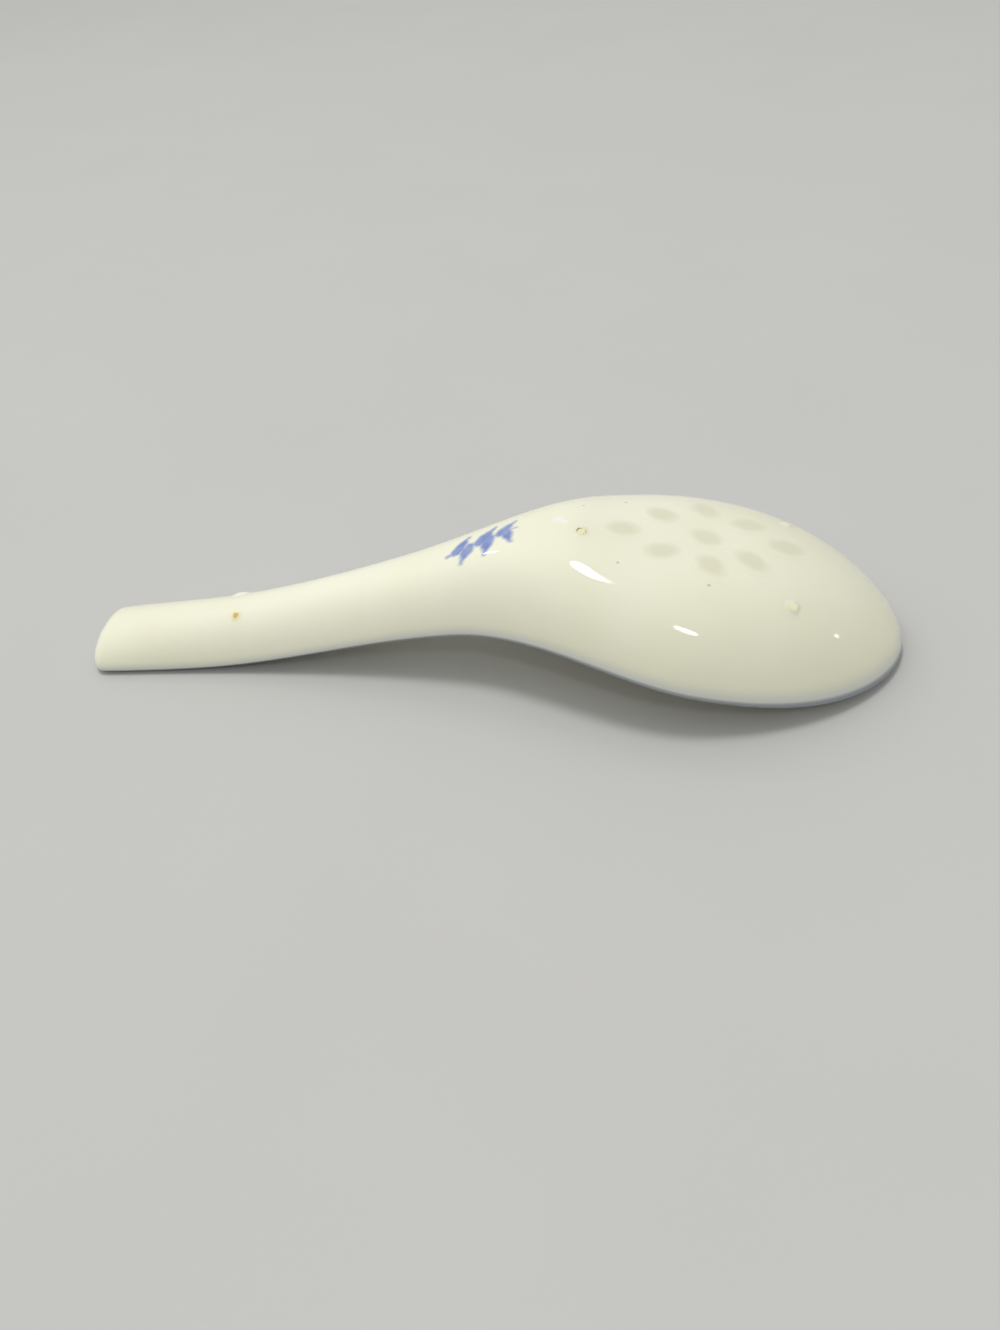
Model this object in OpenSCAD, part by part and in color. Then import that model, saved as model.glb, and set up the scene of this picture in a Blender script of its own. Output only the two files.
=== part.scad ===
// Chinese soup spoon in glazed porcelain with translucent rice-grain windows.
// It lies face down: the rim of the handle tip and of the nose rest on z = 0.
// X runs from the handle tip to the nose of the bowl, Z out of the rounded back.

/* [Overall] */
// Length from the handle tip to the nose of the bowl
spoon_length = 135; // [115:1:170]
// Widest part of the bowl
bowl_width = 43.1; // [34:0.1:56]
// Distance from the nose back to the widest part
bowl_centre_from_nose = 32.4; // [28:0.1:38]
// Wall at the rim
rim_wall = 3; // [2.2:0.1:3.8]
// Height of the rounding under the rim
rim_round = 1.3; // [0.9:0.05:2]
// Wall at the back of the bowl and of the handle
back_wall = 2.8; // [2:0.1:3.4]

/* [Handle plan] */
// Width of the handle just behind its rounded end
handle_end_width = 15.8; // [12:0.1:20]
// Width of the neck, where the handle starts to widen
neck_width = 18.8; // [14:0.1:24]
// Distance from the nose back to the neck
neck_from_nose = 69.6; // [62:0.1:78]
// Length of the rounding at the handle end
handle_end_round = 3.2; // [2:0.1:6]
// Length of the rounding at the end of the channel in the handle
channel_end_round = 3.4; // [2:0.1:6]

/* [Back line heights] */
// Back of the handle at its tip
tip_back_height = 4.76; // [3:0.01:7]
// Distance from the tip to the middle of the handle
handle_mid_from_tip = 27.5; // [20:0.1:36]
// Back of the handle at its middle
handle_mid_height = 9.19; // [7:0.01:12]
// Distance from the nose back to the handle root
handle_root_from_nose = 78.3; // [72:0.1:84]
// Back of the spoon at the handle root
handle_root_height = 16.47; // [13:0.01:20]
// Distance from the nose back to the heel, where the flat foot starts
heel_from_nose = 46.5; // [42:0.1:52]
// Back of the spoon at the heel
heel_height = 23.27; // [18:0.01:30]
// Height that the back line has when it is carried on to the nose
nose_back_height = 13.88; // [10:0.01:18]

/* [Rim line heights] */
// Distance from the tip along which the rim stays near the table
low_rim_from_tip = 22.5; // [16:0.1:30]
// Rim height at the end of that distance
low_rim_height = 0.55; // [0.2:0.01:1.2]
// Distance from the nose back to the highest point of the rim
high_rim_from_nose = 55.6; // [48:0.1:64]
// Highest point of the rim
high_rim_height = 9.85; // [7:0.01:13]

/* [Flat foot] */
// Distance from the nose back to the first point that sets the foot plane
foot_back_from_nose = 44; // [40:0.1:47]
// Distance from the nose back to the second point that sets the foot plane
foot_front_from_nose = 28; // [24:0.1:34]
// How far the foot is ground into the back
foot_depth = 0.12; // [0.05:0.01:0.3]

/* [Rice grains] */
// Distance from the nose back to the middle grain
middle_grain_from_nose = 30.4; // [27:0.1:34]
// Step between the rows of grains along the spoon
grain_row_step = 6.1; // [4.8:0.1:8]
// Distance from the middle grain to the grains at its sides
grain_side_step = 7.5; // [6:0.1:10]
// Length of a grain slot
grain_length = 5.8; // [4:0.1:7.4]
// Width of a grain slot
grain_width = 3.5; // [2.4:0.1:4]
// Turn of the middle grain
middle_grain_turn = -28; // [-90:1:90]
// How far the glaze windows sink below the porcelain
glaze_recess = 0.25; // [0.15:0.01:0.5]
// Dish in each face of a glaze window
glaze_dish = 0.15; // [0.05:0.01:0.3]
// Gap that keeps the glaze and the grit stubs clear of the porcelain mesh
seat_gap = 0.02; // [0.01:0.01:0.05]

/* [Kiln spurs] */
// Width of the pit that a kiln spur leaves in the glaze
spur_pit_width = 2; // [1.4:0.1:3]
// Depth of the pit
spur_pit_depth = 0.6; // [0.3:0.05:1]
// Height of the grit stub above the glaze
spur_rise = 0.15; // [0.05:0.01:0.3]
// Distance from the nose back to the spur at the heel
heel_spur_from_nose = 49; // [45:0.1:54]
// Distance of the heel spur from the middle line, on the near side
heel_spur_side = 1.9; // [0:0.1:4]
// Distance from the nose back to the two spurs near it
nose_spur_from_nose = 18; // [14:0.1:22]
// Distance of the near one of them from the middle line
nose_spur_near_side = 11.5; // [6:0.1:13]
// Distance of the far one of them from the middle line
nose_spur_far_side = 8.3; // [6:0.1:13]
// Distance from the tip to the two spurs on the handle
handle_spur_from_tip = 27.6; // [18:0.1:34]
// Distance of the near one of them from the middle line
handle_spur_near_side = 2.9; // [1:0.1:4.5]
// Distance of the far one of them from the middle line
handle_spur_far_side = 4.1; // [1:0.1:4.5]
// How much nearer to the tip the far one of them is
handle_spur_stagger = 1.3; // [0:0.1:3]

/* [Form] */
// Slope of the back line at the tip
tip_back_slope = 0.267; // [0:0.001:0.5]
// Slope of the back line at the middle of the handle
handle_mid_slope = 0.189; // [0:0.001:0.4]
// Slope of the back line at the handle root
handle_root_slope = 0.29; // [0.1:0.001:0.6]
// Slope of the back line along the foot
foot_slope = -0.169; // [-0.3:0.001:0]
// Slope of the back line at the nose
nose_back_slope = -0.359; // [-0.6:0.001:-0.1]
// Slope of the rim line where it leaves the table
low_rim_slope = 0.075; // [0.02:0.001:0.15]
// Slope of the rim line at the nose
nose_rim_slope = -0.055; // [-0.2:0.001:0]
// Slope of the side of the handle at the neck
neck_slope = 0.137; // [0:0.001:0.4]
// Slope of the side of the handle behind its end
handle_side_slope = -0.02; // [-0.1:0.001:0.1]
// Squareness of the handle end seen from above
handle_end_power = 2.2; // [1.8:0.01:3]
// Squareness of the nose seen from above
nose_power = 2.02; // [1.8:0.01:3]
// Fullness of the handle section towards its sides
handle_side_power = 2.34; // [1.8:0.01:3.5]
// Fullness of the handle section towards its back
handle_back_power = 1.65; // [1.2:0.01:3]
// Fullness of the bowl section towards its sides
bowl_side_power = 3.18; // [2:0.01:4]
// Fullness of the bowl section towards its back
bowl_back_power = 1.57; // [1.2:0.01:3]

/* [Smoothness] */
// Steps round the handle end, each side
end_steps = 10; // [6:1:16]
// Steps along the side, each side
side_steps = 28; // [16:1:40]
// Steps round the nose, each side
nose_steps = 16; // [10:1:24]
// Steps from the back line to the rim
outer_steps = 13; // [8:1:20]
// Steps over the rim
rim_steps = 6; // [4:1:10]
// Steps from the rim to the middle of the hollow
inner_steps = 11; // [8:1:20]

/* [Hidden] */
tip_x = -spoon_length / 2;
nose_x = spoon_length / 2;
neck_x = nose_x - neck_from_nose;
bowl_x = nose_x - bowl_centre_from_nose;
half_columns = end_steps + side_steps + nose_steps;
columns = 2 * half_columns;

side_knots = [
    [tip_x + handle_end_round, handle_end_width / 2, handle_side_slope],
    [neck_x, neck_width / 2, neck_slope],
    [bowl_x, bowl_width / 2, 0],
];
back_knots = [
    [tip_x, tip_back_height, tip_back_slope],
    [tip_x + handle_mid_from_tip, handle_mid_height, handle_mid_slope],
    [nose_x - handle_root_from_nose, handle_root_height, handle_root_slope],
    [nose_x - heel_from_nose, heel_height, foot_slope],
    [nose_x, nose_back_height, nose_back_slope],
];
rim_knots = [
    [tip_x, 0, 0],
    [tip_x + low_rim_from_tip, low_rim_height, low_rim_slope],
    [nose_x - high_rim_from_nose, high_rim_height, 0],
    [nose_x, 0, nose_rim_slope],
];
// The section changes from the handle form to the bowl form along this stretch.
section_from_x = neck_x - (bowl_x - neck_x) * 0.67;

// Grain places: rows along the spoon, and parts of the side step across it.
grain_place_share = [
    [-2.04, 0],
    [-1.07, -0.62], [-1.08, 0.65],
    [0.09, -0.91], [0, 0], [0, 1.01],
    [1.05, -0.6], [1.07, 0.63],
    [1.93, 0.05],
];
// Turn of each grain. They were pressed by hand, so no two lie alike.
grain_turns = [
    0,
    18, -30,
    -52, middle_grain_turn, -58,
    -34, 12,
    6,
];
grain_names = [
    "heel", "heel_near", "heel_far",
    "near", "middle", "far",
    "front_near", "front_far", "front",
];
grain_indices = [for (i = [0 : len(grain_names) - 1]) i];
spur_names = ["heel", "nose_near", "nose_far", "handle_near", "handle_far"];
spur_places = [
    [nose_x - heel_spur_from_nose, -heel_spur_side],
    [nose_x - nose_spur_from_nose, -nose_spur_near_side],
    [nose_x - nose_spur_from_nose, nose_spur_far_side],
    [tip_x + handle_spur_from_tip, -handle_spur_near_side],
    [tip_x + handle_spur_from_tip - handle_spur_stagger, handle_spur_far_side],
];
spur_indices = [for (i = [0 : len(spur_names) - 1]) i];

// A smooth line through knots of place, value and slope.
function hermite(t, span, a, b) =
    (2 * t ^ 3 - 3 * t ^ 2 + 1) * a[1]
    + (t ^ 3 - 2 * t ^ 2 + t) * span * a[2]
    + (3 * t ^ 2 - 2 * t ^ 3) * b[1]
    + (t ^ 3 - t ^ 2) * span * b[2];
function line_at(x, knots, i = 0) =
    i < len(knots) - 2 && x > knots[i + 1][0]
        ? line_at(x, knots, i + 1)
        : let (span = knots[i + 1][0] - knots[i][0])
            hermite((x - knots[i][0]) / span, span, knots[i], knots[i + 1]);
function ease(t) = let (s = max(0, min(1, t))) s * s * (3 - 2 * s);
function power_of(value, power) = max(0, value) ^ power;

// Plan of the spoon, drawn in from the outside by inset, one point for each column.
function end_round(inset) = inset > 0 ? channel_end_round : handle_end_round;
function end_x(inset) = tip_x + inset + end_round(inset);
function half_width(x, inset) = line_at(x, side_knots) - inset;
function end_point(turn, inset) = [
    end_x(inset) - end_round(inset) * power_of(cos(turn), 2 / handle_end_power),
    half_width(end_x(inset), inset) * power_of(sin(turn), 2 / handle_end_power),
];
function side_point(share, inset) =
    let (x = end_x(inset) + (bowl_x - end_x(inset)) * share)
    [x, half_width(x, inset)];
function nose_point(turn, inset) = [
    bowl_x + (nose_x - inset - bowl_x) * power_of(sin(turn), 2 / nose_power),
    (bowl_width / 2 - inset) * power_of(cos(turn), 2 / nose_power),
];
function half_plan_point(i, inset) =
    i < end_steps ? end_point(90 * i / end_steps, inset)
    : i < end_steps + side_steps ? side_point((i - end_steps) / side_steps, inset)
    : nose_point(90 * (i - end_steps - side_steps) / nose_steps, inset);
function plan_point(column, inset) =
    column <= half_columns
        ? half_plan_point(column, inset)
        : let (p = half_plan_point(columns - column, inset)) [p[0], -p[1]];

// Height of the back at a place x and a share of the way out to the rim.
function section_share(x) = ease((x - section_from_x) / (bowl_x - section_from_x));
function side_power(x) = handle_side_power + (bowl_side_power - handle_side_power) * section_share(x);
function back_power(x) = handle_back_power + (bowl_back_power - handle_back_power) * section_share(x);
function shoulder_height(x) = line_at(x, rim_knots) + rim_round;
function back_height(x, reach, drop) =
    shoulder_height(x)
    + (line_at(x, back_knots) - drop - shoulder_height(x))
        * power_of(1 - power_of(reach, side_power(x)), 1 / back_power(x));

// Points of the surface, one ring after the other from the back line to the hollow.
function middle_x(x, inset) = max(end_x(inset), min(bowl_x, x));
function shell_point(column, reach, inset, drop) =
    let (
        edge = plan_point(column, inset),
        from_x = middle_x(edge[0], inset),
        x = from_x + (edge[0] - from_x) * reach
    )
    [x, edge[1] * reach, back_height(x, reach, drop)];
function rim_point(column, turn) =
    let (
        outside = plan_point(column, 0),
        inside = plan_point(column, rim_wall),
        place = (outside + inside) / 2 + (outside - inside) / 2 * cos(turn)
    )
    [place[0], place[1], shoulder_height(place[0]) - rim_round * sin(turn)];
function ring(reach, inset, drop) =
    [for (c = [0 : columns - 1]) shell_point(c, reach, inset, drop)];
function rim_ring(turn) = [for (c = [0 : columns - 1]) rim_point(c, turn)];
function middle_points(inset, drop) =
    [for (i = [0 : side_steps])
        let (x = end_x(inset) + (bowl_x - end_x(inset)) * i / side_steps)
        [x, 0, line_at(x, back_knots) - drop]];

ring_count = outer_steps + rim_steps - 1 + inner_steps;
outer_middle = ring_count * columns;
inner_middle = outer_middle + side_steps + 1;
function middle_index(column) =
    let (i = column % columns, half = i <= half_columns ? i : columns - i)
    max(0, min(side_steps, half - end_steps));

function band_faces(r, c) =
    let (
        a = r * columns + c,
        b = r * columns + (c + 1) % columns,
        d = a + columns,
        e = b + columns
    )
    c < half_columns ? [[a, e, b], [a, d, e]] : [[a, d, b], [b, d, e]];
function cap_faces(r, start, c) =
    let (
        a = r * columns + c,
        b = r * columns + (c + 1) % columns,
        p = start + middle_index(c),
        q = start + middle_index(c + 1)
    )
    p == q ? [[a, b, p]] : [[a, q, p], [a, b, q]];
function turned(faces) = [for (f = faces) [f[2], f[1], f[0]]];

module shell() {
    points = concat(
        [for (k = [1 : outer_steps]) each ring(sin(90 * k / outer_steps), 0, 0)],
        [for (k = [1 : rim_steps - 1]) each rim_ring(180 * k / rim_steps)],
        [for (k = [inner_steps : -1 : 1]) each ring(sin(90 * k / inner_steps), rim_wall, back_wall)],
        middle_points(0, 0),
        middle_points(rim_wall, back_wall)
    );
    faces = concat(
        [for (r = [0 : ring_count - 2], c = [0 : columns - 1]) each band_faces(r, c)],
        [for (c = [0 : columns - 1]) each cap_faces(0, outer_middle, c)],
        [for (c = [0 : columns - 1]) each turned(cap_faces(ring_count - 1, inner_middle, c))]
    );
    polyhedron(points = points, faces = faces, convexity = 8);
}

// Height and direction of the back at a place of the plan.
function reach_at(x, y) =
    x <= bowl_x
        ? abs(y) / half_width(x, 0)
        : (((x - bowl_x) / (nose_x - bowl_x)) ^ nose_power + (abs(y) / (bowl_width / 2)) ^ nose_power)
            ^ (1 / nose_power);
function height_at(x, y) = back_height(x, reach_at(x, y), 0);
probe = rim_round / 20;
function tilt_along(x, y) = -(height_at(x + probe, y) - height_at(x - probe, y)) / (2 * probe);
function tilt_across(x, y) = -(height_at(x, y + probe) - height_at(x, y - probe)) / (2 * probe);

// Children stand on the back at [x, y] with their z axis square to it, turned about that axis.
module on_back(x, y, turn) {
    along = tilt_along(x, y);
    across = tilt_across(x, y);
    lean = atan2(norm([along, across]), 1);
    heading = atan2(across, along);
    translate([x, y, height_at(x, y)])
        rotate([0, 0, heading])
            rotate([0, lean, 0])
                rotate([0, 0, turn - heading])
                    children();
}

middle_grain_x = nose_x - middle_grain_from_nose;
function grain_x(i) = middle_grain_x + grain_row_step * grain_place_share[i][0];
function grain_y(i) = grain_side_step * grain_place_share[i][1];

module grain_prism(i, low, high, gap) {
    on_back(grain_x(i), grain_y(i), grain_turns[i])
        translate([0, 0, low])
            linear_extrude(high - low)
                scale([grain_length / 2 - gap, grain_width / 2 - gap])
                    circle(1);
}

// The dish is a ball that meets the face along the length of the grain.
dish_radius = (grain_length / 2) ^ 2 / (2 * glaze_dish) + glaze_dish / 2;
dish_sides = 240;

module glaze_window(i) {
    top = -glaze_recess;
    bottom = glaze_recess - back_wall * cos(atan(foot_slope));
    difference() {
        grain_prism(i, bottom, top, seat_gap);
        on_back(grain_x(i), grain_y(i), grain_turns[i])
            for (place = [top + dish_radius - glaze_dish, bottom - dish_radius + glaze_dish])
                translate([0, 0, place])
                    sphere(dish_radius, $fn = dish_sides);
    }
}

module spur_pit(i) {
    on_back(spur_places[i][0], spur_places[i][1], 0)
        translate([0, 0, -spur_pit_depth])
            cylinder(h = 2 * spur_pit_depth, d = spur_pit_width);
}

module kiln_spur(i) {
    radius = spur_pit_width / 2 - seat_gap;
    ball = (radius ^ 2 + spur_rise ^ 2) / (2 * spur_rise);
    floor_level = seat_gap - spur_pit_depth;
    on_back(spur_places[i][0], spur_places[i][1], 0)
        intersection() {
            translate([0, 0, floor_level])
                cylinder(h = spur_pit_depth + spur_rise, r = radius);
            translate([0, 0, spur_rise - ball])
                sphere(ball);
        }
}

foot_back_x = nose_x - foot_back_from_nose;
foot_front_x = nose_x - foot_front_from_nose;
foot_fall = height_at(foot_back_x, 0) - height_at(foot_front_x, 0);
foot_tilt = atan2(foot_fall, foot_front_x - foot_back_x);
module foot_cutter() {
    translate([foot_back_x, 0, height_at(foot_back_x, 0) - foot_depth])
        rotate([0, foot_tilt, 0])
            translate([-bowl_width, -bowl_width / 2, 0])
                cube([2 * bowl_width, bowl_width, rim_wall]);
}

module porcelain_body() {
    color([0.93, 0.92, 0.86])
        difference() {
            shell();
            foot_cutter();
            for (i = grain_indices)
                grain_prism(i, -2 * back_wall, back_wall, 0);
            for (i = spur_indices)
                spur_pit(i);
        }
}

porcelain_body();
for (i = grain_indices)
    color([0.8, 0.81, 0.74]) glaze_window(i);
for (i = spur_indices)
    color([0.85, 0.76, 0.58]) kiln_spur(i);
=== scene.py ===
import math

import bmesh
import bpy
from mathutils import Matrix, Vector


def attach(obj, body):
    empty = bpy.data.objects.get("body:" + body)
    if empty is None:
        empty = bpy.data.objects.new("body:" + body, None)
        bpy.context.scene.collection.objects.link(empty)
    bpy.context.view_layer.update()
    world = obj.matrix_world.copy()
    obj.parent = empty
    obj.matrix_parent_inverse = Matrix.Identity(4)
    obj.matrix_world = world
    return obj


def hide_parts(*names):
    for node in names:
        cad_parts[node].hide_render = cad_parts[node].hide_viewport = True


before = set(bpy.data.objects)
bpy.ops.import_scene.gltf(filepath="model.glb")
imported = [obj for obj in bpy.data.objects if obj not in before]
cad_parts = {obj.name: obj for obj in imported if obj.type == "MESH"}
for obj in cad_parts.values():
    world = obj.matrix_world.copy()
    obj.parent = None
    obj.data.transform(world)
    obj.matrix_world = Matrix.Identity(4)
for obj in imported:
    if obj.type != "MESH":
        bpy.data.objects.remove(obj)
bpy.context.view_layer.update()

millimetre = 0.001


def srgbToLinear(hexColor):
    channels = [int(hexColor[i:i + 2], 16) / 255 for i in (1, 3, 5)]
    return [c / 12.92 if c <= 0.04045 else ((c + 0.055) / 1.055) ** 2.4 for c in channels] + [1.0]


def addNode(tree, kind, settings=None, links=None):
    # settings: node properties or socket values, links: socket -> output of another node
    node = tree.nodes.new(kind)
    for name, value in (settings or {}).items():
        if isinstance(name, str) and hasattr(node, name):
            setattr(node, name, value)
        else:
            node.inputs[name].default_value = value
    for name, output in (links or {}).items():
        tree.links.new(output, node.inputs[name])
    return node


# camera, set where the photograph was taken from
photoCamera = {
    "place": (33.65, -142.94, 119.65),  # mm from the middle of the spoon
    "heading": -12.16,                  # degrees from straight across the spoon
    "down": 40.40,
    "roll": 8.045,
    "focalPixels": 1128.45,
    "framePixels": 1330,                # the longer side of the frame
    "sensor": 36,                       # mm, along that side
    "nearest": 10,                      # mm, where the view starts
}


def makeCamera(c):
    heading, down, roll = (math.radians(c[k]) for k in ("heading", "down", "roll"))
    ahead = Vector((math.sin(heading) * math.cos(down), math.cos(heading) * math.cos(down), -math.sin(down)))
    level = ahead.cross(Vector((0, 0, 1))).normalized()
    below = ahead.cross(level)
    right = level * math.cos(roll) + below * math.sin(roll)
    lower = below * math.cos(roll) - level * math.sin(roll)
    camera = bpy.data.objects.new("photoCamera", bpy.data.cameras.new("photoCamera"))
    camera.data.sensor_width = c["sensor"]
    camera.data.lens = c["focalPixels"] / c["framePixels"] * c["sensor"]
    camera.data.clip_start = c["nearest"] * millimetre
    turn = Matrix((right, -lower, -ahead)).transposed().to_4x4()
    camera.matrix_world = Matrix.Translation(Vector(c["place"]) * millimetre) @ turn
    bpy.context.scene.collection.objects.link(camera)
    bpy.context.scene.camera = camera


makeCamera(photoCamera)
print("camera set")

# form of the spoon in mm, with the same values as the solids
spoonForm = {
    "length": 135.0,
    "bowlWidth": 43.1,
    "bowlFromNose": 32.4,          # from the nose to the widest place
    "rimWall": 3.0,
    "rimRound": 1.3,
    "backWall": 2.8,
    "endRound": 3.2,               # rounding of the handle end
    "channelRound": 3.4,           # rounding of the hollow's end
    "endPower": 2.2,               # powers of the rounded outlines, 2 is an ellipse
    "nosePower": 2.02,
    "side": [(3.2, 7.9, -0.02), (65.4, 9.4, 0.137), (102.6, 21.55, 0.0)],  # from the tip, half width, slope
    "back": [(0, 4.76, 0.267), (27.5, 9.19, 0.189), (56.7, 16.47, 0.29), (88.5, 23.27, -0.169),
             (135, 13.88, -0.359)],                                        # from the tip, height, slope
    "rim": [(0, 0, 0), (22.5, 0.55, 0.075), (79.4, 9.85, 0), (135, 0, -0.055)],
    "handlePowers": (2.34, 1.65),  # of the section, towards the sides and towards the back
    "bowlPowers": (3.18, 1.57),
    "blendShare": 0.67,            # of neck to bowl: so far before the neck the section starts to change
    "footFrom": (91.0, 107.0),     # from the tip, the two places that set the plane of the foot
    "footDepth": 0.12,
    "footEdge": 0.05,              # how softly the foot meets the back
}
tipX = -spoonForm["length"] / 2
noseX = spoonForm["length"] / 2
bowlX = noseX - spoonForm["bowlFromNose"]
neckX = tipX + spoonForm["side"][1][0]
blendFromX = neckX - (bowlX - neckX) * spoonForm["blendShare"]


def curveAt(x, knots):
    # smooth curve through knots of distance from the tip, value and slope
    distance = x - tipX
    i = 0
    while i < len(knots) - 2 and distance > knots[i + 1][0]:
        i += 1
    (a, ya, ma), (b, yb, mb) = knots[i], knots[i + 1]
    span = b - a
    t = (distance - a) / span
    return ((2 * t ** 3 - 3 * t ** 2 + 1) * ya + (t ** 3 - 2 * t ** 2 + t) * span * ma
            + (3 * t ** 2 - 2 * t ** 3) * yb + (t ** 3 - t ** 2) * span * mb)


def eased(t):
    t = max(0.0, min(1.0, t))
    return t * t * (3 - 2 * t)


def alongSpoon(x, handle, bowl, nose):
    # a value that changes from the handle over the bowl to the nose
    return (handle + (bowl - handle) * eased((x - blendFromX) / (bowlX - blendFromX))
            + (nose - bowl) * eased((x - bowlX) / (noseX - bowlX)))


def halfWidth(x, inset):
    return curveAt(x, spoonForm["side"]) - inset


def endX(inset):
    # where the straight sides start, outside or, with an inset, in the hollow
    return tipX + inset + (spoonForm["channelRound"] if inset > 0 else spoonForm["endRound"])


def shoulderHeight(x):
    return curveAt(x, spoonForm["rim"]) + spoonForm["rimRound"]


def backHeight(x, reach, drop):
    # height at a share of the way to the rim; drop is 0 on the back and the wall's thickness in the hollow
    k = eased((x - blendFromX) / (bowlX - blendFromX))
    (sideA, backA), (sideB, backB) = spoonForm["handlePowers"], spoonForm["bowlPowers"]
    sidePower = sideA + (sideB - sideA) * k
    backPower = backA + (backB - backA) * k
    shoulder = shoulderHeight(x)
    crown = curveAt(x, spoonForm["back"]) - drop - shoulder
    return shoulder + crown * max(0, 1 - reach ** sidePower) ** (1 / backPower)


def reachAt(x, y, inset=0.0):
    # share of the way from the middle line to the rim
    if x <= bowlX:
        return abs(y) / halfWidth(x, inset)
    power = spoonForm["nosePower"]
    ahead = (x - bowlX) / (noseX - inset - bowlX)
    aside = abs(y) / (spoonForm["bowlWidth"] / 2 - inset)
    return (ahead ** power + aside ** power) ** (1 / power)


footStart, footEnd = (tipX + distance for distance in spoonForm["footFrom"])
footHeights = [backHeight(x, reachAt(x, 0), 0) - spoonForm["footDepth"] for x in (footStart, footEnd)]
footSlope = (footHeights[1] - footHeights[0]) / (footEnd - footStart)


def footHeight(x):
    return footHeights[0] + footSlope * (x - footStart)


def worn(height, x):
    # the ground foot meets the back without a sharp edge
    soft = spoonForm["footEdge"]
    gap = footHeight(x) - height
    if gap > soft:
        return height
    if gap < -soft:
        return footHeight(x)
    return height - (soft - gap) ** 2 / (4 * soft)


def backPoint(x, y):
    return Vector((x, y, worn(backHeight(x, reachAt(x, y), 0), x)))


def backNormal(x, y):
    step = 0.08  # mm to each side
    alongX = (backPoint(x + step, y).z - backPoint(x - step, y).z) / (2 * step)
    alongY = (backPoint(x, y + step).z - backPoint(x, y - step).z) / (2 * step)
    return Vector((-alongX, -alongY, 1)).normalized()


def growRing(bm, edges, place):
    # extrude an open ring of edges and set each new vertex where place says
    grown = bmesh.ops.extrude_edge_only(bm, edges=edges)["geom"]
    ring = [g for g in grown if isinstance(g, bmesh.types.BMVert)]
    for v in ring:
        v.co = place(v)
    inRing = set(ring)
    return ring, [g for g in grown if isinstance(g, bmesh.types.BMEdge) and inRing.issuperset(g.verts)]


def drawDisc(bm, segments, shares):
    # a disc of radius 1: its rings with their share of the radius, down to the middle, and its outer edges
    ring = bmesh.ops.create_circle(bm, segments=segments, radius=1.0, cap_ends=False)["verts"]
    inRing = set(ring)
    outer = edges = [e for e in bm.edges if inRing.issuperset(e.verts)]
    rings = [(ring, 1.0)]
    for share in shares:
        ring, edges = growRing(bm, edges, lambda v: v.co.normalized() * share)
        rings.append((ring, share))
    cap = bmesh.ops.contextual_create(bm, geom=edges)["faces"]
    rings.append((bmesh.ops.poke(bm, faces=cap)["verts"], 0.0))
    return rings, outer


def finishPiece(bm, name):
    mesh = bpy.data.meshes.new(name)
    bm.to_mesh(mesh)
    bm.free()
    piece = bpy.data.objects.new(name, mesh)
    bpy.context.scene.collection.objects.link(piece)
    return piece


# porcelain body: one ring of edges drawn over the back, round the rim and into the hollow
bodyMesh = {
    "endSteps": 26,                 # columns round the handle end, each side
    "sideSteps": 110,
    "noseSteps": 48,
    "backRings": 48,                # rings from the rim to the middle line
    "rimRings": 14,
    "hollowRings": 34,
    "seam": 0.0001,                 # mm, points closer than this become one
    "pooledShadeFrom": (2.6, 4.0, 5.2),  # mm above the rim where pooling glaze and painted shade start: handle, bowl, nose
    "lipShadeFrom": (0.4, 0.8, 1.3),     # and where the glaze is wholly gathered and the painted shade full
    "edgeReach": 0.97,              # past this share of the way to the rim all of the wall counts as outside
    "skin": 1.0,                    # mm under the back that still count as outside
}


def planPoint(column, inset):
    # the outline from above, counted from the tip along one side to the nose and back along the other
    b = bodyMesh
    half = b["endSteps"] + b["sideSteps"] + b["noseSteps"]
    side = 1
    if column > half:
        column, side = 2 * half - column, -1
    form = spoonForm
    if column < b["endSteps"]:
        turn = math.pi / 2 * column / b["endSteps"]
        rounding = endX(inset) - tipX - inset
        x = endX(inset) - rounding * max(0, math.cos(turn)) ** (2 / form["endPower"])
        y = halfWidth(endX(inset), inset) * max(0, math.sin(turn)) ** (2 / form["endPower"])
    elif column < b["endSteps"] + b["sideSteps"]:
        x = endX(inset) + (bowlX - endX(inset)) * (column - b["endSteps"]) / b["sideSteps"]
        y = halfWidth(x, inset)
    else:
        turn = math.pi / 2 * (column - b["endSteps"] - b["sideSteps"]) / b["noseSteps"]
        x = bowlX + (noseX - inset - bowlX) * max(0, math.sin(turn)) ** (2 / form["nosePower"])
        y = (form["bowlWidth"] / 2 - inset) * max(0, math.cos(turn)) ** (2 / form["nosePower"])
    return x, y * side


def wallPoint(column, reach, inset, drop):
    px, py = planPoint(column, inset)
    middle = max(endX(inset), min(bowlX, px))
    x = middle + (px - middle) * reach
    z = backHeight(x, reach, drop)
    if drop == 0:
        z = worn(z, x)
    return Vector((x, py * reach, z)) * millimetre


def rimPoint(column, turn):
    outX, outY = planPoint(column, 0)
    inX, inY = planPoint(column, spoonForm["rimWall"])
    k = (1 + math.cos(turn)) / 2
    x, y = inX + (outX - inX) * k, inY + (outY - inY) * k
    return Vector((x, y, shoulderHeight(x) - spoonForm["rimRound"] * math.sin(turn))) * millimetre


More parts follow.
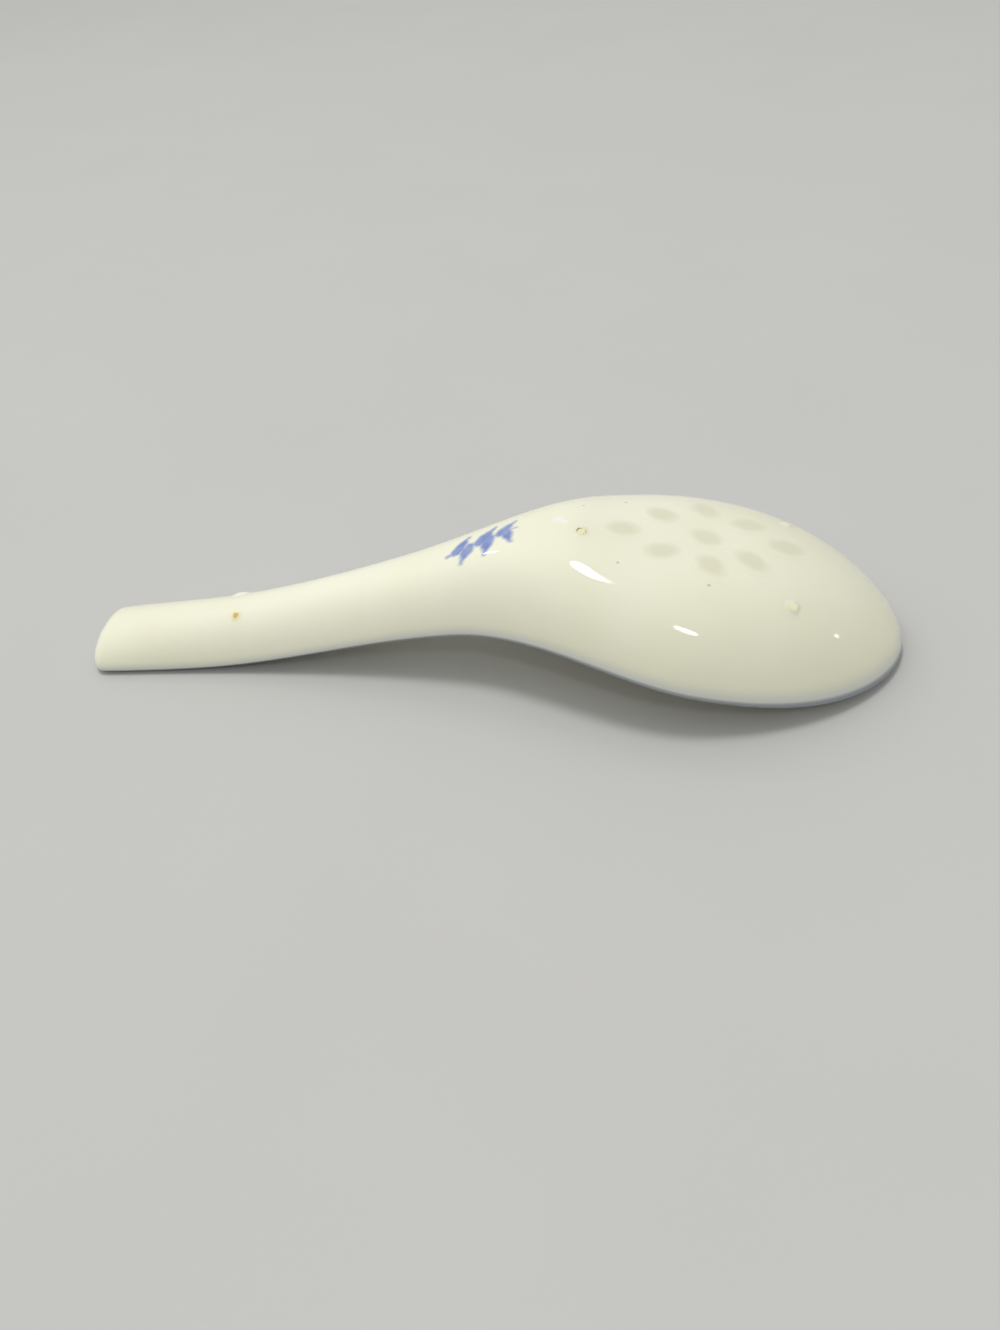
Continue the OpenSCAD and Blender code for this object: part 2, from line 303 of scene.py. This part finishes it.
def makeBody(b):
    columns = 2 * (b["endSteps"] + b["sideSteps"] + b["noseSteps"])
    bm = bmesh.new()
    columnOf = bm.verts.layers.int.new("column")
    bmesh.ops.create_circle(bm, segments=columns, radius=1.0, cap_ends=False)
    bm.verts.ensure_lookup_table()
    for i, v in enumerate(bm.verts):
        v[columnOf] = i
        v.co = wallPoint(i, 1.0, 0, 0)
    shoulder = edges = list(bm.edges)
    for k in range(b["backRings"] - 1, -1, -1):
        reach = math.sin(math.pi / 2 * k / b["backRings"])
        edges = growRing(bm, edges, lambda v: wallPoint(v[columnOf], reach, 0, 0))[1]
    edges = shoulder
    for k in range(1, b["rimRings"] + 1):
        turn = math.pi * k / b["rimRings"]
        edges = growRing(bm, edges, lambda v: rimPoint(v[columnOf], turn))[1]
    inset, drop = spoonForm["rimWall"], spoonForm["backWall"]
    for k in range(b["hollowRings"] - 1, -1, -1):
        reach = math.sin(math.pi / 2 * k / b["hollowRings"])
        edges = growRing(bm, edges, lambda v: wallPoint(v[columnOf], reach, inset, drop))[1]
    bmesh.ops.remove_doubles(bm, verts=bm.verts, dist=b["seam"] * millimetre)  # closes both middle lines
    bmesh.ops.recalc_face_normals(bm, faces=bm.faces)
    outside = bm.verts.layers.float.new("outside")  # 1 on the back, 0 in the hollow
    rimPoolShade = bm.verts.layers.float.new("rimPoolShade")  # 0 on the open wall, 1 at the rim where the glaze gathers and the painted shade is full
    for v in bm.verts:
        x, y, z = v.co / millimetre
        reach = reachAt(x, y)
        onBack = reach > b["edgeReach"] or z > backHeight(x, min(1, reach), 0) - b["skin"]
        v[outside] = 1.0 if onBack else 0.0
        # band along the rim for cooler gathered glaze and painted shade, reaching highest at the nose
        pooledShade, lip = alongSpoon(x, *b["pooledShadeFrom"]), alongSpoon(x, *b["lipShadeFrom"])
        v[rimPoolShade] = eased((curveAt(x, spoonForm["rim"]) + pooledShade - z) / (pooledShade - lip))
    for f in bm.faces:
        f.smooth = True
    return finishPiece(bm, "porcelainBody")


body = makeBody(bodyMesh)
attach(body, "root")
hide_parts("porcelain_body")
print("porcelain body", len(body.data.polygons), "faces")

# rice-grain windows: a plug of glaze through the wall, fading into the glaze round it
grainForm = {
    "middle": (37.1, 0.0),  # mm
    "rowStep": 6.1,
    "sideStep": 7.5,
    "length": 5.8,
    "width": 3.5,
    "fadeAlong": 1.3,       # the window is drawn this much larger than its slot, to fade out
    "fadeAcross": 1.52,
    "rise": 0.008,          # mm above the back
    "around": 48,           # points on a ring
    "shares": (0.92, 0.84, 0.76, 0.66, 0.54, 0.4, 0.2),  # of the radius, of the inner rings
    "wallTilt": 0.5,        # a face whose normal rises less than this is the plug's flat-shaded wall
    "places": {             # parts of the row step and of the side step, turn in degrees
        "heel": (-2.04, 0, 0), "heel_near": (-1.07, -0.62, 18), "heel_far": (-1.08, 0.65, -30),
        "near": (0.09, -0.91, -52), "middle": (0, 0, -28), "far": (0, 1.01, -58),
        "front_near": (1.05, -0.6, -34), "front_far": (1.07, 0.63, 12), "front": (1.93, 0.05, 6),
    },
}


def makeGrain(name, g):
    row, side, degrees = g["places"][name]
    centre = Vector((*g["middle"], 0)) + Vector((row * g["rowStep"], side * g["sideStep"], 0))
    turn = math.radians(degrees)
    normal = backNormal(centre.x, centre.y)
    wall = spoonForm["backWall"]

    def windowPoint(spot, inside):
        # from the disc onto the back, or square through the wall into the hollow
        along = spot.x * g["length"] / 2 * g["fadeAlong"]
        across = spot.y * g["width"] / 2 * g["fadeAcross"]
        x = centre.x + along * math.cos(turn) - across * math.sin(turn)
        y = centre.y + along * math.sin(turn) + across * math.cos(turn)
        if not inside:
            return Vector((x, y, backPoint(x, y).z + g["rise"])) * millimetre
        x -= normal.x / normal.z * wall
        y -= normal.y / normal.z * wall
        reach = reachAt(x, y, spoonForm["rimWall"])
        return Vector((x, y, backHeight(x, reach, wall) - g["rise"])) * millimetre

    bm = bmesh.new()
    windowShare = bm.verts.layers.float.new("windowShare")  # 0 in the middle of the window, 1 at its edge
    outlines = []
    for inside in (False, True):
        rings, outer = drawDisc(bm, g["around"], g["shares"])
        outlines += outer
        for verts, share in rings:
            for v in verts:
                v[windowShare] = share
                v.co = windowPoint(v.co, inside)
    bmesh.ops.bridge_loops(bm, edges=outlines)
    bmesh.ops.recalc_face_normals(bm, faces=bm.faces)
    for f in bm.faces:
        f.smooth = abs(f.normal.z) > g["wallTilt"]
    for e in outlines:
        e.smooth = False
    piece = finishPiece(bm, "grainWindow_" + name)
    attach(piece, "root")
    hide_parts("rice_grain_" + name)
    return piece


grains = [makeGrain(name, grainForm) for name in grainForm["places"]]
print("grain windows", len(grains))

# kiln spur marks: glaze drawn up round a stub of grit
spurForm = {
    "radius": 1.5,             # mm, to where the disturbed glaze ends
    "rise": 0.008,             # mm above the back
    "root": 0.5,               # mm, depth of its hidden foot in the body
    "around": 40,
    "shares": (0.93, 0.86, 0.79, 0.72, 0.65, 0.58, 0.5, 0.42, 0.33, 0.22, 0.11),
    "ragged": (0.05, 0.03),    # how far three long and five short waves push the outline in and out
    "glazeRing": (0.5, 0.12),  # where the ring of glaze stands and its half width, as shares of the radius
    "gritEdge": (0.92, 0.62),  # where the grit starts to rise and the width of its slope
    "marks": {                 # place in mm, size, height of the glaze ring and of the grit in mm, finish
        "heel": ((18.5, -1.9), 1.1, 0.045, 0.065, "scorched"),
        "nose_near": ((49.3, -11.2), 1.0, 0.0, 0.24, "creamy"),
        "nose_far": ((49.5, 8.3), 1.0, 0.0, 0.18, "creamy"),
        "handle_near": ((-39.9, -2.9), 0.95, 0.05, 0.06, "rusty"),
        "handle_far": ((-41.2, 4.0), 1.35, 0.0, 0.30, "whitish"),
    },
}


def makeSpur(name, s):
    (cx, cy), size, lip, stub, finish = s["marks"][name]
    normal = backNormal(cx, cy)
    sideways = normal.cross(Vector((1, 0, 0))).normalized()
    forwards = sideways.cross(normal)
    longWave, shortWave = s["ragged"]
    ringAt, ringWidth = s["glazeRing"]
    gritAt, gritSlope = s["gritEdge"]
    bm = bmesh.new()
    spurShare = bm.verts.layers.float.new("spurShare")  # 0 in the middle of the mark, 1 at its edge
    rings, outer = drawDisc(bm, s["around"], s["shares"])
    sunk, edges = growRing(bm, outer, lambda v: v.co)
    bmesh.ops.contextual_create(bm, geom=edges)
    levels = [(verts, share, 0) for verts, share in rings] + [(sunk, 1.0, s["root"])]
    for verts, share, depth in levels:
        height = s["rise"] + lip * math.exp(-((share - ringAt) / ringWidth) ** 2)
        height += stub * eased((gritAt - share) / gritSlope) - depth
        for v in verts:
            around = math.atan2(v.co.y, v.co.x)
            ragged = 1 + longWave * math.sin(3 * around + cx) + shortWave * math.sin(5 * around + cy)
            flat = (sideways * v.co.x + forwards * v.co.y) * s["radius"] * size * ragged
            v[spurShare] = share
            v.co = (backPoint(cx + flat.x, cy + flat.y) + normal * height) * millimetre
    bmesh.ops.recalc_face_normals(bm, faces=bm.faces)
    if bm.calc_volume(signed=True) < 0:
        bmesh.ops.reverse_faces(bm, faces=bm.faces)
    for e in outer:
        e.smooth = False
    for f in bm.faces:
        f.smooth = True
    piece = finishPiece(bm, "spurMark_" + name)
    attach(piece, "root")
    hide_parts("kiln_spur_" + name)
    return piece, finish


spurs = [makeSpur(name, spurForm) for name in spurForm["marks"]]
print("kiln spur marks", len(spurs))

# glazed porcelain: pressed clay under a clear, slightly warm glaze
porcelainFinish = {
    "white": "#f5f4dd",
    "thickGlaze": "#f1efd4",           # where the glaze is thicker it looks a little yellower
    "cloudSize": 22.0,                 # mm, slow change of glaze thickness
    "cloudRange": (0.35, 0.65),        # of the noise, from thin to thick
    "pooledShade": "#d5d8d3",               # glaze gathers towards the rim and turns cooler, and painted shade greys it there
    "lip": "#959ba0",                  # painted shade: the underside of the rim is painted darker grey still
    "lipShadeShare": 0.8,                   # of the way from open wall to rim, where the painted grey shade starts
    "roughness": 0.06,
    "ior": 1.5,
    "waveSize": 6.0,                   # mm, soft waves in the fired glaze
    "waveDepth": 0.008,                # mm
    "scatter": 0.1,                    # light goes a little way into the clay
    "scatterShares": (1.0, 0.85, 0.65),
    "scatterDepth": 1.2,               # mm
    "speckColor": "#cbc8aa",           # iron specks under the glaze, by place and size in mm
    "specks": [(24.8, 7.7, 0.24), (18.4, 5.4, 0.2), (24.2, -8.2, 0.22), (37.3, -10.8, 0.24)],
    "scarColor": "#f9f5e8",            # a healed spot beside the heel
    "scars": [(14.8, 1.4, 0.9), (15.9, 0.7, 0.6)],
    "dotEdge": (1.5, 0.3),             # a speck or scar fades in between these parts of its size
}

# plain brushed sprig: each dab runs from one point to another and has a half width, in mm
brushSprig = {
    "cobalt": "#6c82bd",
    "cobaltThin": "#aab6d6",
    "dabs": [
        ((-2.6, -1.7), (8.3, 1.0), 0.34),
        ((-1.2, -1.2), (0.3, 1.9), 0.95),
        ((0.9, -0.9), (-0.2, -3.9), 0.92),
        ((2.5, -0.5), (4.6, 2.7), 0.98),
        ((4.0, -0.2), (3.6, -3.7), 0.95),
        ((5.8, 0.3), (7.8, 3.0), 0.84),
        ((6.6, 0.5), (7.6, -2.4), 0.8),
    ],
    "fattestAt": 0.35,                 # share of the way along a dab
    "thinEnd": 0.25,                   # share of the width that is left at its far end
    "softEdge": (-0.5, 0.45),          # mm, from nothing outside the dab to full colour inside
    "wobble": 0.7,                     # mm, how far the brush strays
    "wobbleSize": 1.11,                # mm
    "poolSize": 1.82,                  # mm, patches where the cobalt lies thicker
    "poolRange": (0.3, 0.7),
    "thinnest": 0.45,
}


def brushMask(tree, place, b):
    # the strongest of all dabs at each point, with the soft edge that cobalt gets under glaze
    total = None
    for (ax, ay), (bx, by), width in b["dabs"]:
        start = Vector((ax, ay, 0))
        run = Vector((bx - ax, by - ay, 0))
        fromStart = addNode(tree, "ShaderNodeVectorMath", {"operation": "SUBTRACT", 1: start}, {0: place})
        dot = addNode(tree, "ShaderNodeVectorMath",
                      {"operation": "DOT_PRODUCT", 1: run / run.length_squared}, {0: fromStart.outputs[0]})
        along = addNode(tree, "ShaderNodeMath",
                        {"operation": "ADD", "use_clamp": True, 1: 0.0}, {0: dot.outputs["Value"]})
        foot = addNode(tree, "ShaderNodeVectorMath",
                       {"operation": "SCALE", 0: run}, {"Scale": along.outputs[0]})
        away = addNode(tree, "ShaderNodeVectorMath", {"operation": "DISTANCE"},
                       {0: fromStart.outputs[0], 1: foot.outputs[0]})
        swell = addNode(tree, "ShaderNodeMapRange",
                        {"interpolation_type": "SMOOTHSTEP", "From Min": 1.0, "From Max": b["fattestAt"],
                         "To Min": width * b["thinEnd"], "To Max": width}, {"Value": along.outputs[0]})
        inner = addNode(tree, "ShaderNodeMath", {"operation": "SUBTRACT"},
                        {0: swell.outputs[0], 1: away.outputs["Value"]})
        mask = addNode(tree, "ShaderNodeMapRange",
                       {"interpolation_type": "SMOOTHSTEP", "From Min": b["softEdge"][0],
                        "From Max": b["softEdge"][1]}, {"Value": inner.outputs[0]}).outputs[0]
        if total is not None:
            mask = addNode(tree, "ShaderNodeMath", {"operation": "MAXIMUM"}, {0: total, 1: mask}).outputs[0]
        total = mask
    return total


def startMaterial(name):
    material = bpy.data.materials.new(name)
    material.use_nodes = True
    tree = material.node_tree
    tree.nodes.clear()
    surface = addNode(tree, "ShaderNodeBsdfPrincipled")
    addNode(tree, "ShaderNodeOutputMaterial", links={"Surface": surface.outputs[0]})
    return material, tree, surface


def blendColors(tree, share, a, b):
    # a and b are hex colours or outputs
    mix = addNode(tree, "ShaderNodeMix", {"data_type": "RGBA"}, {"Factor": share})
    for socket, value in ((6, a), (7, b)):
        if isinstance(value, str):
            mix.inputs[socket].default_value = srgbToLinear(value)
        else:
            tree.links.new(value, mix.inputs[socket])
    return mix.outputs[2]


def placeInMillimetres(tree):
    coordinates = addNode(tree, "ShaderNodeTexCoord")
    return addNode(tree, "ShaderNodeMapping", {"Scale": (1 / millimetre,) * 3},
                   {"Vector": coordinates.outputs["Object"]}).outputs[0]


def glazeWaves(tree, place, p):
    waves = addNode(tree, "ShaderNodeTexNoise",
                    {"Scale": 1 / p["waveSize"], "Detail": 1.5}, {"Vector": place})
    return addNode(tree, "ShaderNodeBump", {"Strength": 1.0, "Distance": p["waveDepth"] * millimetre},
                   {"Height": waves.outputs["Fac"]}).outputs[0]


def porcelainTone(tree, place, p):
    clouds = addNode(tree, "ShaderNodeTexNoise",
                     {"Scale": 1 / p["cloudSize"], "Detail": 3.0}, {"Vector": place})
    share = addNode(tree, "ShaderNodeMapRange",
                    {"From Min": p["cloudRange"][0], "From Max": p["cloudRange"][1]},
                    {"Value": clouds.outputs["Fac"]})
    return blendColors(tree, share.outputs[0], p["white"], p["thickGlaze"])


def paintSprig(tree, place, flat, outside, color, b):
    # underglaze cobalt: the brush strays a little, and the colour lies thicker in some places
    wobble = addNode(tree, "ShaderNodeTexNoise",
                     {"Scale": 1 / b["wobbleSize"], "Detail": 2.0}, {"Vector": place})
    span, back = b["wobble"], -b["wobble"] / 2
    shift = addNode(tree, "ShaderNodeVectorMath",
                    {"operation": "MULTIPLY_ADD", 1: (span, span, 0), 2: (back, back, 0)},
                    {0: wobble.outputs["Color"]})
    brushed = addNode(tree, "ShaderNodeVectorMath", {"operation": "ADD"}, {0: flat, 1: shift.outputs[0]})
    mask = brushMask(tree, brushed.outputs[0], b)
    paint = addNode(tree, "ShaderNodeMath", {"operation": "MULTIPLY"}, {0: mask, 1: outside})
    pool = addNode(tree, "ShaderNodeTexNoise",
                   {"Scale": 1 / b["poolSize"], "Detail": 2.0}, {"Vector": place})
    strength = addNode(tree, "ShaderNodeMapRange",
                       {"From Min": b["poolRange"][0], "From Max": b["poolRange"][1],
                        "To Min": b["thinnest"], "To Max": 1.0}, {"Value": pool.outputs["Fac"]})
    cobalt = blendColors(tree, strength.outputs[0], b["cobaltThin"], b["cobalt"])
    return blendColors(tree, paint.outputs[0], color, cobalt)


def paintDots(tree, flat, outside, color, p):
    # specks and scars: round spots with a soft edge
    dots = [(*dot, p["speckColor"]) for dot in p["specks"]] + [(*dot, p["scarColor"]) for dot in p["scars"]]
    edgeFrom, edgeTo = p["dotEdge"]
    for x, y, size, dotColor in dots:
        away = addNode(tree, "ShaderNodeVectorMath", {"operation": "DISTANCE", 1: (x, y, 0)}, {0: flat})
        dot = addNode(tree, "ShaderNodeMapRange",
                      {"interpolation_type": "SMOOTHSTEP", "From Min": size * edgeFrom,
                       "From Max": size * edgeTo},
                      {"Value": away.outputs["Value"]})
        spot = addNode(tree, "ShaderNodeMath", {"operation": "MULTIPLY"}, {0: dot.outputs[0], 1: outside})
        color = blendColors(tree, spot.outputs[0], color, dotColor)
    return color


def glazedPorcelain(p, b):
    # glazed porcelain: bright warm white under a clear wet-looking gloss
    material, tree, surface = startMaterial("glazedPorcelain")
    place = placeInMillimetres(tree)
    color = porcelainTone(tree, place, p)
    # towards the rim the colour turns cooler where glaze gathers, then darker with painted shade under the
    # rim
    rim = addNode(tree, "ShaderNodeAttribute", {"attribute_name": "rimPoolShade"}).outputs["Fac"]
    color = blendColors(tree, rim, color, p["pooledShade"])
    lip = addNode(tree, "ShaderNodeMapRange",
                  {"interpolation_type": "SMOOTHSTEP", "From Min": p["lipShadeShare"], "From Max": 1.0},
                  {"Value": rim})
    color = blendColors(tree, lip.outputs[0], color, p["lip"])
    flat = addNode(tree, "ShaderNodeVectorMath",
                   {"operation": "MULTIPLY", 1: (1, 1, 0)}, {0: place}).outputs[0]
    outside = addNode(tree, "ShaderNodeAttribute", {"attribute_name": "outside"}).outputs["Fac"]
    color = paintSprig(tree, place, flat, outside, color, b)
    color = paintDots(tree, flat, outside, color, p)
    tree.links.new(color, surface.inputs["Base Color"])
    tree.links.new(glazeWaves(tree, place, p), surface.inputs["Normal"])
    surface.inputs["Roughness"].default_value = p["roughness"]
    surface.inputs["IOR"].default_value = p["ior"]
    surface.inputs["Subsurface Weight"].default_value = p["scatter"]
    surface.inputs["Subsurface Radius"].default_value = p["scatterShares"]
    surface.inputs["Subsurface Scale"].default_value = p["scatterDepth"] * millimetre
    return material


# grain glaze: clear glaze without clay behind it
grainFinish = {
    "glaze": "#e5e3c7",
    "roughness": 0.07,
    "patchSize": 2.38,         # mm, the glaze fills its slot unevenly
    "patchReach": 0.36,        # and shifts the fade by so much of the way to the edge
    "fade": (0.32, 0.98),      # from full glaze colour to porcelain
    "edgeFade": (0.82, 0.99),  # the outermost part is porcelain however the patches lie
}


def grainGlaze(g, p):
    # rice-grain glaze: a soft olive shade that is deepest in its middle and runs out into the porcelain
    material, tree, surface = startMaterial("riceGrainGlaze")
    place = placeInMillimetres(tree)
    share = addNode(tree, "ShaderNodeAttribute", {"attribute_name": "windowShare"}).outputs["Fac"]
    patches = addNode(tree, "ShaderNodeTexNoise",
                      {"Scale": 1 / g["patchSize"], "Detail": 2.0}, {"Vector": place})
    uneven = addNode(tree, "ShaderNodeMath",
                     {"operation": "MULTIPLY_ADD", 1: g["patchReach"], 2: -g["patchReach"] / 2},
                     {0: patches.outputs["Fac"]})
    reach = addNode(tree, "ShaderNodeMath", {"operation": "ADD"}, {0: share, 1: uneven.outputs[0]})
    tone = addNode(tree, "ShaderNodeMapRange",
                   {"interpolation_type": "SMOOTHSTEP", "From Min": g["fade"][0],
                    "From Max": g["fade"][1]}, {"Value": reach.outputs[0]})
    edge = addNode(tree, "ShaderNodeMapRange",
                   {"interpolation_type": "SMOOTHSTEP", "From Min": g["edgeFade"][0],
                    "From Max": g["edgeFade"][1]}, {"Value": share})
    clear = addNode(tree, "ShaderNodeMath", {"operation": "MAXIMUM"},
                    {0: tone.outputs[0], 1: edge.outputs[0]})
    color = blendColors(tree, clear.outputs[0], g["glaze"], porcelainTone(tree, place, p))
    tree.links.new(color, surface.inputs["Base Color"])
    tree.links.new(glazeWaves(tree, place, p), surface.inputs["Normal"])
    surface.inputs["Roughness"].default_value = g["roughness"]
    surface.inputs["IOR"].default_value = p["ior"]
    return material


# kiln grit: coarse fired clay that stuck in the glaze
gritFinishes = {
    "scorched": {"middle": "#f1ebbd", "ring": "#857a50", "ringAt": 0.4, "ringShare": 0.9, "halo": "#ece9ca"},
    "rusty": {"middle": "#d4b172", "ring": "#f6e2ae", "ringAt": 0.45, "ringShare": 0.7, "halo": "#f3ecc0"},
    "creamy": {"middle": "#fbf6cc", "ring": "#e4e1c4", "ringAt": 0.6, "ringShare": 0.4, "halo": "#eeecd2"},
    "whitish": {"middle": "#f6f5e6", "ring": "#f3f2e0", "ringAt": 0.5, "ringShare": 0.4, "halo": "#f3f2e0"},
}
gritGrain = {
    "size": 0.385,              # mm
    "reach": 0.3,               # the grains push every edge in and out by so much of the radius
    "middleEdge": (0.28, 0.5),  # shares of the radius, from the colour of the middle to that of the halo
    "haloEdge": (0.55, 0.95),   # and from the halo to porcelain
    "ringEdge": (0.13, 0.02),   # distance from the ring where it starts and where it is full
    "breakSize": 0.667,         # mm, the ring is broken
    "breakRange": (0.42, 0.56),
    "dullEdge": (0.2, 0.6),     # from dull grit to glossy glaze
    "dull": 0.5,
}


def kilnGrit(name, f, g, p):
    # fired grit: dull and grainy in the middle, a broken ring round it, glossy where the glaze rises
    material, tree, surface = startMaterial("kilnGrit_" + name)
    place = placeInMillimetres(tree)
    share = addNode(tree, "ShaderNodeAttribute", {"attribute_name": "spurShare"}).outputs["Fac"]
    grit = addNode(tree, "ShaderNodeTexNoise", {"Scale": 1 / g["size"], "Detail": 3.0}, {"Vector": place})
    uneven = addNode(tree, "ShaderNodeMath",
                     {"operation": "MULTIPLY_ADD", 1: g["reach"], 2: -g["reach"] / 2},
                     {0: grit.outputs["Fac"]})
    reach = addNode(tree, "ShaderNodeMath", {"operation": "ADD"}, {0: share, 1: uneven.outputs[0]}).outputs[0]
    inner = addNode(tree, "ShaderNodeMapRange",
                    {"interpolation_type": "SMOOTHSTEP", "From Min": g["middleEdge"][0],
                     "From Max": g["middleEdge"][1]}, {"Value": reach})
    color = blendColors(tree, inner.outputs[0], f["middle"], f["halo"])
    outer = addNode(tree, "ShaderNodeMapRange",
                    {"interpolation_type": "SMOOTHSTEP", "From Min": g["haloEdge"][0],
                     "From Max": g["haloEdge"][1]}, {"Value": share})
    color = blendColors(tree, outer.outputs[0], color, porcelainTone(tree, place, p))
    fromRing = addNode(tree, "ShaderNodeMath", {"operation": "SUBTRACT", 1: f["ringAt"]}, {0: reach})
    near = addNode(tree, "ShaderNodeMath", {"operation": "ABSOLUTE"}, {0: fromRing.outputs[0]})
    ring = addNode(tree, "ShaderNodeMapRange",
                   {"interpolation_type": "SMOOTHSTEP", "From Min": g["ringEdge"][0],
                    "From Max": g["ringEdge"][1], "To Max": f["ringShare"]}, {"Value": near.outputs[0]})
    breaks = addNode(tree, "ShaderNodeTexNoise",
                     {"Scale": 1 / g["breakSize"], "Detail": 1.0}, {"Vector": place})
    broken = addNode(tree, "ShaderNodeMapRange",
                     {"interpolation_type": "SMOOTHSTEP", "From Min": g["breakRange"][0],
                      "From Max": g["breakRange"][1]}, {"Value": breaks.outputs["Fac"]})
    ringPart = addNode(tree, "ShaderNodeMath", {"operation": "MULTIPLY"},
                       {0: ring.outputs[0], 1: broken.outputs[0]})
    color = blendColors(tree, ringPart.outputs[0], color, f["ring"])
    rough = addNode(tree, "ShaderNodeMapRange",
                    {"From Min": g["dullEdge"][0], "From Max": g["dullEdge"][1],
                     "To Min": g["dull"], "To Max": p["roughness"]}, {"Value": reach})
    tree.links.new(color, surface.inputs["Base Color"])
    tree.links.new(rough.outputs[0], surface.inputs["Roughness"])
    surface.inputs["IOR"].default_value = p["ior"]
    return material


body.data.materials.append(glazedPorcelain(porcelainFinish, brushSprig))
grainMaterial = grainGlaze(grainFinish, porcelainFinish)
for grain in grains:
    grain.data.materials.append(grainMaterial)
gritMaterials = {name: kilnGrit(name, f, gritGrain, porcelainFinish) for name, f in gritFinishes.items()}
for spur, finish in spurs:
    spur.data.materials.append(gritMaterials[finish])
print("finishes on")

# pale floor, soft room and ceiling lights
studio = {
    "floorSize": 3.0,                 # m
    "floorColor": "#c4c3be",
    "floorCloud": "#c8c7c3",
    "floorCloudSize": 50.0,           # mm
    "floorRoughness": 0.75,
    "roomColor": "#f3f4f6",
    "roomStrength": 0.5,
    "brightSide": (-0.75, 0.3, 0.6),  # the room is brighter towards this side
    "brightStrength": 0.72,
    "brightPower": 3.0,               # the higher, the narrower the bright side
    "lamps": [  # middle in m, direction of the long side, short side and long side in m, watts
        ((-0.122, 0.093, 1.198), (0.337, -0.931, 0.138), 0.26, 0.39, 4.6),
        ((0.271, -0.753, 0.934), (0.779, -0.374, -0.502), 0.08, 0.25, 1.0),
        ((-0.671, 0.605, 0.805), (0.0, 0.0, 1.0), 0.05, 0.055, 0.35),
        ((1.19, -0.06, 0.39), (0.0, 0.0, 1.0), 0.03, 0.04, 0.11),
    ],
}


def makeFloor(s):
    bm = bmesh.new()
    bmesh.ops.create_grid(bm, x_segments=2, y_segments=2, size=s["floorSize"] / 2)
    floor = finishPiece(bm, "studioFloor")
    material, tree, surface = startMaterial("paleFloor")
    clouds = addNode(tree, "ShaderNodeTexNoise", {"Scale": 1 / s["floorCloudSize"], "Detail": 2.0},
                     {"Vector": placeInMillimetres(tree)})
    color = blendColors(tree, clouds.outputs["Fac"], s["floorColor"], s["floorCloud"])
    tree.links.new(color, surface.inputs["Base Color"])
    surface.inputs["Roughness"].default_value = s["floorRoughness"]
    floor.data.materials.append(material)


def makeRoom(s):
    # an even light all round, with a soft swell of light on one side
    world = bpy.data.worlds.new("softRoom")
    world.use_nodes = True
    bpy.context.scene.world = world
    sky = world.node_tree
    direction = addNode(sky, "ShaderNodeTexCoord").outputs["Generated"]
    side = addNode(sky, "ShaderNodeVectorMath",
                   {"operation": "DOT_PRODUCT", 1: Vector(s["brightSide"]).normalized()}, {0: direction})
    facing = addNode(sky, "ShaderNodeMath", {"operation": "MAXIMUM", 1: 0.0}, {0: side.outputs["Value"]})
    soft = addNode(sky, "ShaderNodeMath", {"operation": "POWER", 1: s["brightPower"]}, {0: facing.outputs[0]})
    strength = addNode(sky, "ShaderNodeMath",
                       {"operation": "MULTIPLY_ADD", 1: s["brightStrength"], 2: s["roomStrength"]},
                       {0: soft.outputs[0]})
    background = sky.nodes["Background"]
    background.inputs["Color"].default_value = srgbToLinear(s["roomColor"])
    sky.links.new(strength.outputs[0], background.inputs["Strength"])


def hangLamps(s):
    # each lamp faces the spoon, with its long side along the given direction
    for i, (middle, longSide, width, length, watts) in enumerate(s["lamps"]):
        light = bpy.data.lights.new("ceilingLamp" + str(i + 1), "AREA")
        light.shape = "ELLIPSE"
        light.size, light.size_y, light.energy = width, length, watts
        away = Vector(middle).normalized()
        across = Vector(longSide).cross(away).normalized()
        lamp = bpy.data.objects.new(light.name, light)
        turn = Matrix((across, away.cross(across), away)).transposed().to_4x4()
        lamp.matrix_world = Matrix.Translation(Vector(middle)) @ turn
        bpy.context.scene.collection.objects.link(lamp)


makeFloor(studio)
makeRoom(studio)
hangLamps(studio)
bpy.context.scene.view_settings.view_transform = "Standard"
print("studio lit")

bpy.context.view_layer.update()
